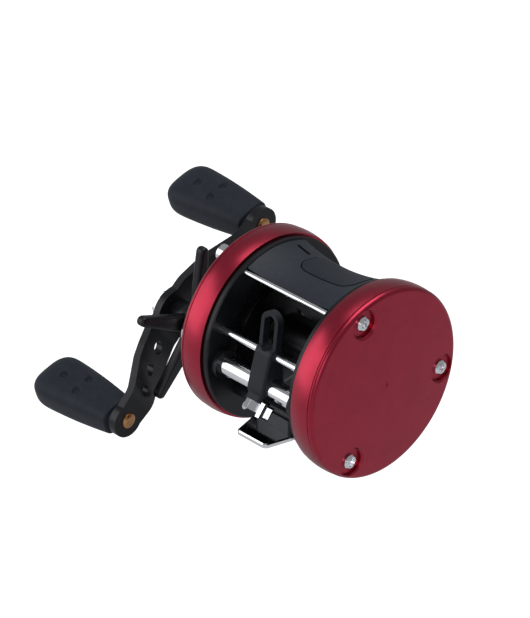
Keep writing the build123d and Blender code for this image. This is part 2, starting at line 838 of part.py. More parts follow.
with BuildPart() as near_bearing:
    ring(bearing_seat, bearing_seat + bearing_near_wide, bearing_near_radius, spindle_near + running)
finished(near_bearing, "near_bearing")

with BuildPart() as far_bearing:
    ring(-boss_face, -boss_face - bearing_far_wide, bearing_far_radius, spindle_far + running)
finished(far_bearing, "far_bearing")

# ---- spool tension cap ----
cap_start = boss_face + gap
cap_stop = cap_boss_end + 1.6
cap_flutes, flute_radius = 24, 0.5
with BuildPart() as tension_cap:
    turned(
        (
            (-cap_start, cap_boss + running),
            (-cap_start, cap_radius - 0.4),
            (-cap_start - 0.4, cap_radius),
            (-cap_stop + 0.8, cap_radius),
            (-cap_stop, cap_radius - 0.9),
            (-cap_stop, 0),
            (-cap_stop + 1.2, 0),
            (-cap_stop + 1.2, cap_boss + running),
        )
    )
    for flute in range(cap_flutes):
        y, z = polar(cap_radius + flute_radius / 2, 360 * flute / cap_flutes)
        bore(-cap_start - 0.6, -cap_stop + 1.0, flute_radius, y, z)
finished(tension_cap, "tension_cap")

with BuildPart() as tension_shim:
    ring(-cap_boss_end + 0.3, -cap_boss_end - 0.3, bearing_far_radius - 0.5)
finished(tension_shim, "tension_shim")

# ---- pinion and the yoke that slides it ----
pinion_bore = spindle_far + running
pinion_tip = pinion_teeth * gear_module / 2 + 0.85 * gear_module
neck_radius = pinion_teeth * gear_module / 2 - 1.2 * gear_module
slot_depth = 1.15
with BuildPart() as pinion:
    extrude(
        gear_sketch(main_in + 0.1, (0, 0), pinion_teeth, gear_module, pinion_phase, pinion_bore),
        amount=main_thick + 0.4,
        dir=(-1, 0, 0),
    )
    ring(main_in + 0.1, neck_in + 0.2, neck_radius, pinion_bore)
    ring(neck_in + 0.2, -plate_end + 0.2, pinion_tip, pinion_bore)
    with BuildSketch(across(-plate_end + 0.2)) as drive_slot:
        Rectangle(4 * pinion_tip, 2 * (clutch_pin_radius + 0.1))
    extrude(drive_slot.sketch, amount=-slot_depth, mode=Mode.SUBTRACT)
finished(pinion, "pinion")

yoke_thick, yoke_half, yoke_low, yoke_high = 0.7, 11.2, -0.9, 7.0
yoke_from = neck_in + 0.1
with BuildPart() as yoke:
    with BuildSketch(across(yoke_from)) as fork:
        with Locations((0, (yoke_low + yoke_high) / 2)):
            RectangleRounded(2 * yoke_half, yoke_high - yoke_low, 1.5)
        with Locations((0, yoke_low / 2 - 0.5)):
            Rectangle(2 * (neck_radius + 0.2), -yoke_low + 1, mode=Mode.SUBTRACT)
        Circle(neck_radius + 0.2, mode=Mode.SUBTRACT)
        with Locations((-post_y, post_z), (post_y, post_z)):
            Circle(yoke_post + running, mode=Mode.SUBTRACT)
    extrude(fork.sketch, amount=-yoke_thick)
finished(yoke, "yoke")

post_end = floor - running
with BuildPart() as yoke_posts:
    for y in (-post_y, post_y):
        ring(-outer - 0.1, -post_end, yoke_post, 0, y, post_z)
finished(yoke_posts, "yoke_posts")

spring_from = -yoke_from + yoke_thick + clutch_travel + 0.1
with BuildPart() as yoke_springs:
    for y in (-post_y, post_y):
        for coil in range(3):
            with BuildSketch(lathe(y, post_z)) as wire:
                with Locations((-(spring_from + 0.25 + coil * 0.42), yoke_post + 0.35)):
                    Circle(0.2)
            revolve(wire.sketch, axis=Axis((0, y, post_z + axis_height), (1, 0, 0)))
finished(yoke_springs, "yoke_springs")

# ---- thumb bar at the back, with the slide that works the yoke ----
bar_end = inner - 0.4
with BuildPart() as thumb_bar:
    with BuildSketch(across(-bar_end)) as bar_shape:
        Polygon(
            (thumb_y - 2.4, thumb_low + 1.2),
            (thumb_y - 1.0, thumb_low),
            (thumb_y + 2.9, thumb_low),
            (thumb_y + 3.5, thumb_low + 3.4),
            (thumb_y + 2.2, thumb_high),
            (thumb_y + 0.2, thumb_high + 0.3),
            (thumb_y - 1.2, thumb_low + 3.4),
            align=None,
        )
    extrude(bar_shape.sketch, amount=2 * bar_end)
    fillet(thumb_bar.edges().filter_by(Axis.X), 0.45)
    with BuildSketch(across(-bar_end, thumb_y, thumb_low + lug_tall / 2)) as lug:
        Rectangle(lug_wide, lug_tall)
    extrude(lug.sketch, amount=-(plate_end - bar_end))
finished(thumb_bar, "thumb_bar")

slide_low, slide_mid, slide_top, slide_tip, slide_thick = 2.2, 5.6, 7.6, 8.2, 0.8
with BuildPart() as clutch_slide:
    with BuildSketch(across(-plate_end - running)) as slide_shape:
        Polygon(
            (thumb_y - 2.2, slide_low),
            (thumb_y + 1.4, slide_low),
            (thumb_y + 1.4, slide_mid + 0.4),
            (thumb_y - 2.2, slide_top),
            (thumb_y - slide_tip, slide_top),
            (thumb_y - slide_tip, slide_mid),
            (thumb_y - 3.6, slide_mid),
            align=None,
        )
    extrude(slide_shape.sketch, amount=-slide_thick)
finished(clutch_slide, "clutch_slide")

# ---- drive shaft and what turns with it ----
step_x = star_x - 2.6                     # the shaft is thinner beyond this
shaft_end = arm_hub_x - arm_thick / 2 - 4.6
with BuildPart() as drive_shaft:
    ring(-outer - 0.1, step_x, shaft_radius, 0, drive_y, drive_z)
    ring(step_x, shaft_end, shaft_thin, 0, drive_y, drive_z)
finished(drive_shaft, "drive_shaft")

with BuildPart() as shaft_bush:
    ring(-outer, -plate_end, shaft_radius + hub_hole, shaft_radius + running, drive_y, drive_z)
finished(shaft_bush, "shaft_bush")

with BuildPart() as levelwind_cog:
    extrude(
        gear_sketch(cog_in, drive, cog_teeth, level_module, cog_phase, shaft_radius),
        amount=cog_out - cog_in,
        dir=(1, 0, 0),
    )
finished(levelwind_cog, "levelwind_cog")

washer_radius, recess_deep = 8.4, 1.0
with BuildPart() as main_gear:
    extrude(
        gear_sketch(main_in, drive, main_teeth, gear_module, main_phase, shaft_radius),
        amount=main_out - main_in,
        dir=(1, 0, 0),
    )
    bore(main_out + recess_deep, main_out, washer_radius + 0.2, drive_y, drive_z)
finished(main_gear, "main_gear")

with BuildPart() as drag_washer:
    ring(main_out + recess_deep, main_out + recess_deep / 2, washer_radius, shaft_radius, drive_y, drive_z)
finished(drag_washer, "drag_washer")

with BuildPart() as pressure_plate:
    ring(main_out + recess_deep / 2, main_out, washer_radius, shaft_radius, drive_y, drive_z)
finished(pressure_plate, "pressure_plate")

washer_thick, washer_gap, washers = 0.3, 0.05, 2
hub_from = star_x + star_thick / 2
hub_to = star_x - 3.4
sleeve_end = hub_from + washers * (washer_thick + washer_gap) + 0.2
with BuildPart() as shaft_sleeve:
    ring(main_out, sleeve_end, sleeve_radius, 0, drive_y, drive_z)
    ring(sleeve_end + sleeve_flange_thick, sleeve_end, sleeve_flange, 0, drive_y, drive_z)
    chamfer(shaft_sleeve.faces().sort_by(Axis.X)[0].edges(), 0.4)
    bore(main_out, sleeve_end, shaft_radius, drive_y, drive_z)
finished(shaft_sleeve, "shaft_sleeve")

with BuildPart() as one_way_bearing:
    ring(-floor, -boss_face, clutch_outer, sleeve_radius + running, drive_y, drive_z)
finished(one_way_bearing, "one_way_bearing")

with BuildPart() as spring_washers:
    for place in range(washers):
        washer_x = sleeve_end - place * (washer_thick + washer_gap)
        ring(washer_x, washer_x - washer_thick, sleeve_radius + 0.4, shaft_radius, drive_y, drive_z)
finished(spring_washers, "spring_washers")

tip_centre = star_reach - star_tip / 2
with BuildPart() as star_drag:
    with BuildSketch(across(star_x, drive_y, drive_z)) as blades:
        Circle(star_hub)
        for blade in range(star_arms):
            turn = star_phase + blade * 360 / star_arms
            with Locations(Location((0, 0, 0), (0, 0, turn))):
                Polygon(
                    (star_hub / 2, -star_root / 2),
                    (tip_centre, -star_tip / 2),
                    (tip_centre, star_tip / 2),
                    (star_hub / 2, star_root / 2),
                    align=None,
                )
            with Locations(polar(tip_centre, turn)):
                Circle(star_tip / 2)
    extrude(blades.sketch, amount=star_thick / 2, both=True)
    fillet(star_drag.faces().filter_by(Axis.X).edges(), 0.9)
    ring(hub_from, hub_to, star_hub - 1.0, 0, drive_y, drive_z)
    bore(hub_from + 1, step_x, shaft_radius + running, drive_y, drive_z)
    bore(step_x, hub_to - 1, shaft_thin + running, drive_y, drive_z)
finished(star_drag, "star_drag")

with BuildPart() as handle_spacer:
    ring(hub_to - gap, arm_hub_x + arm_thick / 2, sleeve_radius - 0.2, shaft_thin, drive_y, drive_z)
finished(handle_spacer, "handle_spacer")

# ---- handle arm: a bowed strip, narrowed towards its ends and pierced ----
along = radians(arm_angle)
arm_way = (0, cos(along), sin(along))
arm_side = Plane(
    origin=(0, drive_y, drive_z + axis_height), x_dir=arm_way, z_dir=(0, -sin(along), cos(along))
)
arm_face = Plane(origin=(0, drive_y, drive_z + axis_height), x_dir=arm_way, z_dir=(1, 0, 0))
bow = arm_end_x - arm_hub_x
end_reach = arm_half + arm_end_radius + 1
arm_bend, arm_shoulder = 7.0, 14.0
arm_holes = ((11.6, 1.9), (18.2, 1.7), (24.2, 1.4))     # (place along the arm, radius)
with BuildPart() as handle_arm:
    with BuildSketch(arm_side) as strip:
        with BuildLine():
            half_bow = [
                (arm_hub_radius, -arm_hub_x),
                (0.52 * arm_half, -arm_hub_x - 0.38 * bow),
                (0.785 * arm_half, -arm_end_x),
                (end_reach, -arm_end_x),
            ]
            other_half = [(-reach, x) for reach, x in half_bow]
            FilletPolyline(*reversed(half_bow), *other_half, radius=arm_bend)
        trace(line_width=arm_thick)
    extrude(strip.sketch, amount=arm_hub_radius + 1, both=True)
    with BuildSketch(arm_face) as outline:
        Circle(arm_hub_radius)
        for way in (-1, 1):
            Polygon(
                (0, -arm_hub_radius + 1.6),
                (way * arm_shoulder, -arm_mid_width / 2),
                (way * arm_half, -arm_end_radius + 0.4),
                (way * arm_half, arm_end_radius - 0.4),
                (way * arm_shoulder, arm_mid_width / 2),
                (0, arm_hub_radius - 1.6),
                align=None,
            )
            with Locations((way * arm_half, 0)):
                Circle(arm_end_radius)
        for way in (-1, 1):
            for place, radius in arm_holes:
                with Locations((way * place, 0)):
                    Circle(radius, mode=Mode.SUBTRACT)
        with Locations((arm_half, 0), (-arm_half, 0)):
            Circle(pin_radius, mode=Mode.SUBTRACT)
        Circle(shaft_thin, mode=Mode.SUBTRACT)
    extrude(outline.sketch, amount=arm_hub_x - 2 * arm_thick, mode=Mode.INTERSECT)
finished(handle_arm, "handle_arm")

nut_from = -arm_hub_x + arm_thick / 2
nut_radius, nut_tall, keeper_radius, keeper_thick = 5.4, 3.4, 7.0, 1.0
with BuildPart() as handle_nut:
    with BuildSketch(across(-nut_from, drive_y, drive_z)) as hexagon:
        RegularPolygon(nut_radius, 6, rotation=arm_angle)
        Circle(shaft_thin, mode=Mode.SUBTRACT)
    extrude(hexagon.sketch, amount=-nut_tall)
finished(handle_nut, "handle_nut")

with BuildPart() as nut_keeper:
    with BuildSketch(arm_face.offset(-nut_from)) as keeper:
        Circle(keeper_radius)
        RegularPolygon(nut_radius + 0.1, 6, mode=Mode.SUBTRACT)
    extrude(keeper.sketch, amount=-keeper_thick)
finished(nut_keeper, "nut_keeper")

# ---- knobs on their rivets ----
knob_places = {
    "front": (drive_y - arm_half * cos(along), drive_z - arm_half * sin(along)),
    "back": (drive_y + arm_half * cos(along), drive_z + arm_half * sin(along)),
}
knob_start = arm_end_x - arm_thick / 2 - gap
rivet_seat = arm_end_x + arm_thick / 2
pin_end = knob_start - knob_length + 4.0
with BuildPart() as knob_rivets:
    for y, z in knob_places.values():
        ring(rivet_seat, pin_end, pin_radius, 0, y, z)
        turned(
            (
                (rivet_seat, 0),
                (rivet_seat, 2.3),
                (rivet_seat + 0.4, 2.2),
                (rivet_seat + 0.8, 1.4),
                (rivet_seat + 0.9, 0),
            ),
            y,
            z,
        )
finished(knob_rivets, "knob_rivets")

# each paddle is lofted through rounded sections: (share of length, share of width, share of thickness)
tilt = radians(knob_tilt)
paddle_sections = (
    (0.0, 0.54, 0.80),
    (0.34, 0.78, 0.97),
    (0.74, 1.0, 1.0),
    (0.93, 0.92, 0.82),
    (1.0, 0.70, 0.46),
)
dimples = ((0.70, 0.0), (0.46, 2.6), (0.46, -2.6))      # (share of length, place across)
dimple_radius, dimple_deep = 1.5, 0.8
for side, (y, z) in knob_places.items():
    with BuildPart() as knob:
        for share, wide, thick in paddle_sections:
            place = Plane(
                origin=(knob_start - share * knob_length, y, z + axis_height),
                x_dir=(0, cos(tilt), sin(tilt)),
                z_dir=(-1, 0, 0),
            )
            with BuildSketch(place):
                RectangleRounded(wide * knob_width, thick * knob_thick, 0.44 * thick * knob_thick)
        loft()
        bore(knob_start + 1, pin_end - 0.6, pin_radius + running, y, z)
        lift = knob_thick / 2 + dimple_radius - dimple_deep
        for share, offset in dimples:
            centre = (
                knob_start - share * knob_length,
                y + offset * cos(tilt) - lift * sin(tilt),
                z + axis_height + offset * sin(tilt) + lift * cos(tilt),
            )
            with Locations(centre):
                Sphere(dimple_radius, mode=Mode.SUBTRACT)
    finished(knob, "knob_" + side)
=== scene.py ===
"""Looks of a round baitcasting reel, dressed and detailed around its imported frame."""

import json
import logging
import math
from dataclasses import dataclass, field
from enum import Enum
from typing import Callable, Iterable, Sequence

import bmesh
import bpy
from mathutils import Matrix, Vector

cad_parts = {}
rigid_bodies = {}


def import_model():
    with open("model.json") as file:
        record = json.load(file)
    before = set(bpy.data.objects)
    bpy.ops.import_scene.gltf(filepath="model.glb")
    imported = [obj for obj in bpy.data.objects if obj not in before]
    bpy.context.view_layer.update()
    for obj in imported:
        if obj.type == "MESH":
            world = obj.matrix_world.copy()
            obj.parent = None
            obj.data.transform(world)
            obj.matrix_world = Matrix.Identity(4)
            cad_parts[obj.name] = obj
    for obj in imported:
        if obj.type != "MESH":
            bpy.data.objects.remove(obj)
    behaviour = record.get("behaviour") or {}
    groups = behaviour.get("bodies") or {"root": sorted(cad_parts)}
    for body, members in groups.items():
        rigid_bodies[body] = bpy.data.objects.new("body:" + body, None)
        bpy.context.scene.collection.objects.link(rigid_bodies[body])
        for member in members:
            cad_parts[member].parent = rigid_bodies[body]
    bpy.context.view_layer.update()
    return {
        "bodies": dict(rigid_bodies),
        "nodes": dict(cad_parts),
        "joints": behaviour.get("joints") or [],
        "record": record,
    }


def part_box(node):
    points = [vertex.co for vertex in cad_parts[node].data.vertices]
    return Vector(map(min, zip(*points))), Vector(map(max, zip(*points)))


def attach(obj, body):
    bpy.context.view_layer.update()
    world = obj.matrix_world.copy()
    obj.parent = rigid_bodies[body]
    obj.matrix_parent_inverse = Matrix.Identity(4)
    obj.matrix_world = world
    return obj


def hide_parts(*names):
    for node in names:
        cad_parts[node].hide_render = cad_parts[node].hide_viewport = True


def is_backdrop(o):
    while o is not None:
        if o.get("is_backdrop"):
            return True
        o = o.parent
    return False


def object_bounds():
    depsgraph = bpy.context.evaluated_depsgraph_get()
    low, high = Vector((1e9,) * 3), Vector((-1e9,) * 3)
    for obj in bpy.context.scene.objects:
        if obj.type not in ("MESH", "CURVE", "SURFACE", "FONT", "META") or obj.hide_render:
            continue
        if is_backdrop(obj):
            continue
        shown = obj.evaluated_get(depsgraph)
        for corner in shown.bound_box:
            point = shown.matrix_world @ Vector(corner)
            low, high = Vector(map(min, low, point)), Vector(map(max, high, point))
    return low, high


LOG = logging.getLogger("reel")
MM = 0.001
AXIS_HEIGHT = 18.6 * MM  # the spool's axis above the frame's origin


class Brushing(Enum):
    """Direction of the fine lines that machining leaves on a metal surface."""

    NONE = "none"
    SPUN = "spun"
    ALONG = "along"


class Graph:
    """A node tree with short calls to add nodes and join them."""

    def __init__(self, tree: bpy.types.NodeTree) -> None:
        """Keeps the tree that nodes are added to."""
        self.tree = tree

    def node(self, kind: str, settings: dict | None = None, **inputs: object) -> bpy.types.Node:
        """Adds a node, sets its properties and joins or sets its inputs.

        Args:
            kind: the node's type name without its ShaderNode prefix.
            settings: properties of the node itself.
            inputs: values or sockets by input name, with spaces written as underscores.

        Returns:
            The new node.
        """
        made = self.tree.nodes.new("ShaderNode" + kind)
        for name, value in (settings or {}).items():
            setattr(made, name, value)
        for name, value in inputs.items():
            self.plug(made.inputs[name.replace("_", " ")], value)
        return made

    def plug(self, socket: bpy.types.NodeSocket, value: object) -> None:
        """Joins an output to a socket, or sets the socket's own value.

        Args:
            socket: the input to fill.
            value: an output to join to it, or a plain value.
        """
        if isinstance(value, bpy.types.NodeSocket):
            self.tree.links.new(value, socket)
        else:
            socket.default_value = value

    def math(self, operation: str, first: object, second: object = 0.0, clamp: bool = False) -> object:
        """Adds a math node.

        Args:
            operation: the node's operation.
            first: its first value or output.
            second: its second value or output.
            clamp: whether the result is kept between 0 and 1.

        Returns:
            The node's output.
        """
        made = self.tree.nodes.new("ShaderNodeMath")
        made.operation = operation
        made.use_clamp = clamp
        self.plug(made.inputs[0], first)
        self.plug(made.inputs[1], second)
        return made.outputs[0]

    def ramp(self, value: object, low: float, high: float, start: float = 0.0, end: float = 1.0) -> object:
        """Maps a value from one range to another and clamps it there.

        Args:
            value: the output to map.
            low: where the given range starts.
            high: where the given range ends.
            start: what the start becomes.
            end: what the end becomes.

        Returns:
            The node's output.
        """
        made = self.node("MapRange")
        for name, number in zip(("From Min", "From Max", "To Min", "To Max"), (low, high, start, end)):
            made.inputs[name].default_value = number
        self.plug(made.inputs["Value"], value)
        return made.outputs["Result"]

    def blend(self, share: object, first: object, second: object, kind: str = "RGBA") -> object:
        """Mixes two colours or two vectors.

        A mix node has sockets for every kind of value, so they are picked by kind and not by name.

        Args:
            share: how much of the second goes in.
            first: the colour or vector at a share of 0.
            second: the colour or vector at a share of 1.
            kind: RGBA for colours or VECTOR for vectors.

        Returns:
            The mixed output.
        """
        made = self.tree.nodes.new("ShaderNodeMix")
        made.data_type = kind
        first_input, result = {"VECTOR": (4, 1), "RGBA": (6, 2)}[kind]
        self.plug(made.inputs[0], share)
        self.plug(made.inputs[first_input], first)
        self.plug(made.inputs[first_input + 1], second)
        return made.outputs[result]


def colour(red: float, green: float, blue: float) -> tuple[float, float, float, float]:
    """A colour with full alpha."""
    return (red, green, blue, 1.0)


class Effects:
    """The shader node groups that several finishes share, each built once."""

    def __init__(self) -> None:
        """Builds every group."""
        self.wear = self._group("Edge wear", ("Reach", "Break", "Amount"), ("Mask",), self._wear)
        self.grain = self._group("Fine grain", ("Scale", "Soft"), ("Height", "Tone"), self._grain)
        self.lines = self._group("Brush lines", ("Spun", "Scale"), ("Height", "Sheen"), self._lines)
        self.smudge = self._group("Handling", ("Scale", "Amount"), ("Rough",), self._smudge)
        self.dust = self._group("Settled dust", ("Amount",), ("Mask",), self._dust)

    @staticmethod
    def _group(
        name: str, inputs: Sequence[str], outputs: Sequence[str], fill: Callable[[Graph, object], dict]
    ) -> bpy.types.NodeTree:
        """Makes a group with named float sockets.

        Args:
            name: the group's name.
            inputs: names of its inputs.
            outputs: names of its outputs.
            fill: builds the nodes inside and returns an output for each name.

        Returns:
            The node tree.
        """
        tree = bpy.data.node_groups.new(name, "ShaderNodeTree")
        for item in inputs:
            tree.interface.new_socket(name=item, in_out="INPUT", socket_type="NodeSocketFloat")
        for item in outputs:
            tree.interface.new_socket(name=item, in_out="OUTPUT", socket_type="NodeSocketFloat")
        graph = Graph(tree)
        start = tree.nodes.new("NodeGroupInput")
        end = tree.nodes.new("NodeGroupOutput")
        results = fill(graph, start.outputs)
        for item in outputs:
            tree.links.new(results[item], end.inputs[item])
        return tree

    @staticmethod
    def _wear(graph: Graph, given: object) -> dict:
        """Bare metal where a rounded normal leaves the true one, broken up by noise.

        Args:
            graph: the group's tree.
            given: the group's inputs.

        Returns:
            The Mask output, 1 where the metal is bare.
        """
        rounded = graph.node("Bevel", {"samples": 4}, Radius=given["Reach"])
        true = graph.node("NewGeometry")
        dot = graph.node("VectorMath", {"operation": "DOT_PRODUCT"})
        graph.plug(dot.inputs[0], rounded.outputs[0])
        graph.plug(dot.inputs[1], true.outputs["Normal"])
        edge = graph.ramp(dot.outputs["Value"], 0.995, 0.86)
        place = graph.node("TexCoord").outputs["Object"]
        patches = graph.node("TexNoise", Vector=place, Scale=given["Break"], Detail=5.0, Roughness=0.7)
        broken = graph.ramp(patches.outputs["Fac"], 0.44, 0.64)
        worn = graph.math("MULTIPLY", edge, broken)
        return {"Mask": graph.math("MULTIPLY", worn, given["Amount"], clamp=True)}

    @staticmethod
    def _grain(graph: Graph, given: object) -> dict:
        """The fine tooth of a blasted, moulded or soft surface, with a slow drift of tone.

        Args:
            graph: the group's tree.
            given: the group's inputs.

        Returns:
            The Height and Tone outputs.
        """
        place = graph.node("TexCoord").outputs["Object"]
        fine = graph.node("TexNoise", Vector=place, Scale=given["Scale"], Detail=3.0, Roughness=given["Soft"])
        slow_scale = graph.math("MULTIPLY", given["Scale"], 0.04)
        slow = graph.node("TexNoise", Vector=place, Scale=slow_scale, Detail=3.0, Roughness=0.55)
        return {"Height": fine.outputs["Fac"], "Tone": slow.outputs["Fac"]}

    @staticmethod
    def _lines(graph: Graph, given: object) -> dict:
        """Fine lines round the spool's axis, or along it, by the Spun input.

        Args:
            graph: the group's tree.
            given: the group's inputs.

        Returns:
            The Height and Sheen outputs.
        """
        place = graph.node("TexCoord").outputs["Object"]
        part = graph.node("SeparateXYZ", Vector=place)
        height = graph.math("SUBTRACT", part.outputs["Z"], AXIS_HEIGHT)
        depth_squared = graph.math("MULTIPLY", part.outputs["Y"], part.outputs["Y"])
        height_squared = graph.math("MULTIPLY", height, height)
        radius = graph.math("SQRT", graph.math("ADD", depth_squared, height_squared))
        round_it = graph.node("CombineXYZ", X=part.outputs["X"], Y=radius, Z=0.0)
        drawn_out = graph.math("MULTIPLY", part.outputs["X"], 0.02)
        flat = graph.node("CombineXYZ", X=drawn_out, Y=part.outputs["Y"], Z=part.outputs["Z"])
        way = graph.blend(given["Spun"], flat.outputs[0], round_it.outputs[0], "VECTOR")
        fine = graph.node("TexNoise", Vector=way, Scale=given["Scale"], Detail=4.0, Roughness=0.75)
        broad_scale = graph.math("MULTIPLY", given["Scale"], 0.12)
        broad = graph.node("TexNoise", Vector=way, Scale=broad_scale, Detail=2.0, Roughness=0.5)
        return {"Height": fine.outputs["Fac"], "Sheen": broad.outputs["Fac"]}

    @staticmethod
    def _smudge(graph: Graph, given: object) -> dict:
        """A change of roughness where fingers have been.

        Args:
            graph: the group's tree.
            given: the group's inputs.

        Returns:
            The Rough output, to be added to a roughness.
        """
        place = graph.node("TexCoord").outputs["Object"]
        patches = graph.node(
            "TexNoise", Vector=place, Scale=given["Scale"], Detail=4.0, Roughness=0.6, Distortion=0.8
        )
        marks = graph.ramp(patches.outputs["Fac"], 0.42, 0.66)
        return {"Rough": graph.math("MULTIPLY", marks, given["Amount"])}

    @staticmethod
    def _dust(graph: Graph, given: object) -> dict:
        """A trace of dust on what faces up.

        Args:
            graph: the group's tree.
            given: the group's inputs.

        Returns:
            The Mask output, 1 where dust lies.
        """
        facing = graph.node("SeparateXYZ", Vector=graph.node("NewGeometry").outputs["Normal"])
        up = graph.ramp(facing.outputs["Z"], 0.55, 1.0)
        place = graph.node("TexCoord").outputs["Object"]
        specks = graph.node("TexNoise", Vector=place, Scale=900.0, Detail=6.0, Roughness=0.8)
        fall = graph.ramp(specks.outputs["Fac"], 0.50, 0.72)
        settled = graph.math("MULTIPLY", up, fall)
        return {"Mask": graph.math("MULTIPLY", settled, given["Amount"], clamp=True)}


@dataclass(frozen=True)
class Finish:
    """One surface finish: its colours, gloss, texture and wear.

    The grain's depth and the eased edge are in millimetres, the grain's scale is in waves per metre,
    and the brush depth is a share of the grain's depth.
    """

    name: str
    base: tuple[float, float, float]
    shade: tuple[float, float, float]
    metallic: float
    roughness: float
    coat: float = 0.0
    coat_roughness: float = 0.1
    grain: float = 4000.0
    grain_depth: float = 0.004
    brushing: Brushing = Brushing.NONE
    brush_depth: float = 0.0
    wear: float = 0.0
    bare: tuple[float, float, float] = (0.72, 0.72, 0.74)
    smudges: float = 0.06
    dust: float = 0.0
    sheen: float = 0.0
    edge: float = 0.12
    reflects: float = 0.5

    def material(self, effects: Effects) -> bpy.types.Material:
        """Builds the finish as a material.

        Args:
            effects: the shared node groups.

        Returns:
            The new material.
        """
        made = bpy.data.materials.new(self.name)
        made.use_nodes = True
        graph = Graph(made.node_tree)
        shader = made.node_tree.nodes["Principled BSDF"]
        shader.inputs["Coat Weight"].default_value = self.coat
        shader.inputs["Coat Roughness"].default_value = self.coat_roughness
        shader.inputs["Sheen Weight"].default_value = self.sheen
        shader.inputs["Sheen Roughness"].default_value = 0.4
        shader.inputs["Specular IOR Level"].default_value = self.reflects
        grain = graph.node("Group", {"node_tree": effects.grain}, Scale=self.grain, Soft=0.6)
        tone = graph.ramp(grain.outputs["Tone"], 0.36, 0.64)
        skin = graph.blend(tone, colour(*self.base), colour(*self.shade))
        smudge = graph.node("Group", {"node_tree": effects.smudge}, Scale=70.0, Amount=self.smudges)
        rough = graph.math("ADD", smudge.outputs["Rough"], self.roughness)
        height = grain.outputs["Height"]
        if self.brushing is not Brushing.NONE:
            spun = 1.0 if self.brushing is Brushing.SPUN else 0.0
            lines = graph.node("Group", {"node_tree": effects.lines}, Spun=spun, Scale=9000.0)
            cut = graph.math("MULTIPLY", lines.outputs["Height"], self.brush_depth)
            height = graph.math("ADD", height, cut)
            rough = graph.math("ADD", rough, graph.ramp(lines.outputs["Sheen"], 0.3, 0.7, -0.02, 0.02))
        metal: object = self.metallic
        if self.wear > 0.0:
            worn = {"Reach": 0.25 * MM, "Break": 320.0, "Amount": self.wear}
            wear = graph.node("Group", {"node_tree": effects.wear}, **worn)
            skin = graph.blend(wear.outputs["Mask"], skin, colour(*self.bare))
            if self.metallic < 1.0:
                metal = graph.math("MAXIMUM", wear.outputs["Mask"], self.metallic)
        if self.dust > 0.0:
            dust = graph.node("Group", {"node_tree": effects.dust}, Amount=self.dust)
            skin = graph.blend(dust.outputs["Mask"], skin, colour(0.55, 0.55, 0.56))
            dulled = graph.math("MULTIPLY", dust.outputs["Mask"], 0.3)
            rough = graph.math("ADD", rough, dulled, clamp=True)
        eased = graph.node("Bevel", {"samples": 4}, Radius=self.edge * MM)
        depth = self.grain_depth * MM
        bump = graph.node("Bump", Strength=1.0, Distance=depth, Height=height, Normal=eased.outputs[0])
        graph.plug(shader.inputs["Base Color"], skin)
        graph.plug(shader.inputs["Roughness"], rough)
        graph.plug(shader.inputs["Metallic"], metal)
        graph.plug(shader.inputs["Normal"], bump.outputs[0])
        return made


RED = Finish(
    "red anodised",
    base=(0.39, 0.015, 0.044),
    shade=(0.36, 0.013, 0.039),
    metallic=1.0,
    roughness=0.29,
    coat=0.40,
    coat_roughness=0.30,
    grain=5200.0,
    grain_depth=0.003,
    brushing=Brushing.SPUN,
    brush_depth=0.12,
    wear=0.10,
    bare=(0.66, 0.50, 0.52),
    smudges=0.04,
)
BLACK = Finish(
    "black anodised",
    base=(0.012, 0.013, 0.016),
    shade=(0.016, 0.017, 0.020),
    metallic=0.55,
    roughness=0.33,
    grain=4800.0,
    grain_depth=0.006,
    brushing=Brushing.SPUN,
    brush_depth=0.4,
    wear=0.12,
    bare=(0.20, 0.20, 0.22),
    smudges=0.05,
)
SPOOL = Finish(
    "spool black",
    base=(0.014, 0.014, 0.016),
    shade=(0.020, 0.020, 0.023),
    metallic=0.8,
    roughness=0.26,
    grain=5200.0,
    grain_depth=0.004,
    brushing=Brushing.SPUN,
    brush_depth=0.9,
    wear=0.15,
    bare=(0.30, 0.29, 0.28),
    smudges=0.05,
)
PAINT = Finish(
    "slate black cover",
    base=(0.015, 0.020, 0.030),
    shade=(0.018, 0.024, 0.034),
    metallic=0.0,
    roughness=0.46,
    reflects=0.30,
    coat=0.08,
    coat_roughness=0.35,
    grain=5600.0,
    grain_depth=0.010,
    wear=0.05,
    bare=(0.10, 0.11, 0.13),
    smudges=0.05,
    dust=0.02,
)
SOFT = Finish(
    "soft touch rubber",
    base=(0.010, 0.014, 0.023),
    shade=(0.013, 0.018, 0.027),
    metallic=0.0,
    roughness=0.56,
    reflects=0.22,
    grain=6500.0,
    grain_depth=0.014,
    smudges=0.06,
    dust=0.02,
    sheen=0.08,
)
NYLON = Finish(
    "black nylon",
    base=(0.009, 0.011, 0.015),
    shade=(0.012, 0.014, 0.019),
    metallic=0.0,
    roughness=0.42,
    reflects=0.26,
    grain=4200.0,
    grain_depth=0.008,
    smudges=0.06,
    dust=0.01,
    edge=0.2,
)
CHROME = Finish(
    "chrome plate",
    base=(0.82, 0.83, 0.86),
    shade=(0.78, 0.79, 0.82),
    metallic=1.0,
    roughness=0.09,
    grain=3000.0,
    grain_depth=0.0012,
    brushing=Brushing.ALONG,
    brush_depth=0.4,
    smudges=0.06,
)
STEEL = Finish(
    "ground steel",
    base=(0.55, 0.55, 0.57),
    shade=(0.47, 0.47, 0.49),
    metallic=1.0,
    roughness=0.28,
    grain=3600.0,
    grain_depth=0.006,
    brushing=Brushing.SPUN,
    brush_depth=1.0,
    smudges=0.08,
)
BRASS = Finish(
    "cut brass",
    base=(0.72, 0.50, 0.20),
    shade=(0.62, 0.42, 0.17),
    metallic=1.0,
    roughness=0.26,
    grain=3600.0,
    grain_depth=0.005,
    brushing=Brushing.SPUN,
    brush_depth=0.9,
    smudges=0.10,
)
COPPER = Finish(
    "copper rivet",
    base=(0.60, 0.34, 0.15),
    shade=(0.46, 0.25, 0.11),
    metallic=1.0,
    roughness=0.24,
    grain=2600.0,
    grain_depth=0.004,
    smudges=0.14,
)
